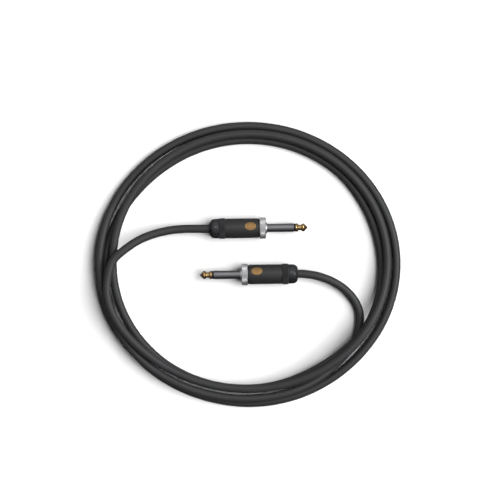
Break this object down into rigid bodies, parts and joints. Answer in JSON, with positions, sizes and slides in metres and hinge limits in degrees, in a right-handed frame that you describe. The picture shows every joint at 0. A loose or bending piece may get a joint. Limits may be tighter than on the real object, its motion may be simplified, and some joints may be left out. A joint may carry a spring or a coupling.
{
  "type": "instrument cable",
  "caption": "Screened instrument cable in a loose round coil, with a straight mono plug on each end whose rear nut screws out of the barrel and frees the cable grip.",
  "frame": {"origin": "on the surface that the cable lies on, midway between the two plugs: the bottom centre of the plugs' box", "axes": "+Z up, +X along the plugs towards the tip of plug a, +Y from plug b towards plug a; seen from above with +Y up, the coil lies as it was pictured"},
  "size_m": [0.233, 0.2177, 0.0205],
  "materials": {
    "gold": "gold plated, turned and polished",
    "black_insulator": "moulded black plastic, satin",
    "satin_nickel": "nickel plated, fine turned finish",
    "bright_nickel": "nickel plated, diamond knurled",
    "tinned_brass": "tin plated brass strip",
    "solder": "tin solder, bright and rounded",
    "clear_liner": "thin pale plastic tube",
    "black_barrel": "black anodised, matt, with a small gold mark",
    "chuck_plastic": "moulded cream nylon",
    "black_knurl": "black anodised, diamond knurled",
    "gloss_cap": "black, polished",
    "cable_jacket": "satin black flexible jacket",
    "copper": "bare copper strands",
    "carbon_layer": "matt black conductive layer",
    "core_foam": "pale foamed insulation"
  },
  "bodies": {
    "cable": {"tip_contact_a": "gold", "tip_insulator_a": "black_insulator", "plug_sleeve_a": "satin_nickel", "front_ring_a": "bright_nickel", "ground_lug_a": "tinned_brass", "lug_insulator_a": "black_insulator", "tip_lug_a": "tinned_brass", "tip_solder_a": "solder", "ground_solder_a": "solder", "barrel_liner_a": "clear_liner", "barrel_a": "black_barrel", "cable_jacket_a": "cable_jacket", "cable_screen_a": "copper", "conductive_layer_a": "carbon_layer", "core_insulation_a": "core_foam", "centre_conductor_a": "copper", "tip_contact_b": "gold", "tip_insulator_b": "black_insulator", "plug_sleeve_b": "satin_nickel", "front_ring_b": "bright_nickel", "ground_lug_b": "tinned_brass", "lug_insulator_b": "black_insulator", "tip_lug_b": "tinned_brass", "tip_solder_b": "solder", "ground_solder_b": "solder", "barrel_liner_b": "clear_liner", "barrel_b": "black_barrel", "cable_jacket_b": "cable_jacket", "cable_screen_b": "copper", "conductive_layer_b": "carbon_layer", "core_insulation_b": "core_foam", "centre_conductor_b": "copper", "cable_coil": "cable_jacket", "cable_tail_a": "cable_jacket", "cable_tail_b": "cable_jacket"},
    "chuck_a": {"chuck_a": "chuck_plastic"},
    "rear_nut_a": {"rear_nut_a": "black_knurl", "end_cap_a": "gloss_cap"},
    "chuck_b": {"chuck_b": "chuck_plastic"},
    "rear_nut_b": {"rear_nut_b": "black_knurl", "end_cap_b": "gloss_cap"}
  },
  "joints": [
    {"name": "chuck_a_travel", "type": "slide", "parent": "cable", "child": "chuck_a", "axis": [-0.9999, -0.014, 0], "range_m": [0, 0.005]},
    {"name": "rear_nut_a_turn", "type": "hinge", "parent": "chuck_a", "child": "rear_nut_a", "pos_m": [-0.02423, 0.01739, 0.00815], "axis": [-0.9999, -0.014, 0], "range_deg": [0, 1800]},
    {"name": "chuck_b_travel", "type": "slide", "parent": "cable", "child": "chuck_b", "axis": [0.9999, 0.014, 0], "range_m": [0, 0.005]},
    {"name": "rear_nut_b_turn", "type": "hinge", "parent": "chuck_b", "child": "rear_nut_b", "pos_m": [0.02423, -0.01739, 0.00815], "axis": [0.9999, 0.014, 0], "range_deg": [0, 1800]}
  ],
  "couplings": [
    {"joint": "chuck_a_travel", "follows": "rear_nut_a_turn", "m_per_rad": 0.00015915},
    {"joint": "chuck_b_travel", "follows": "rear_nut_b_turn", "m_per_rad": 0.00015915}
  ]
}
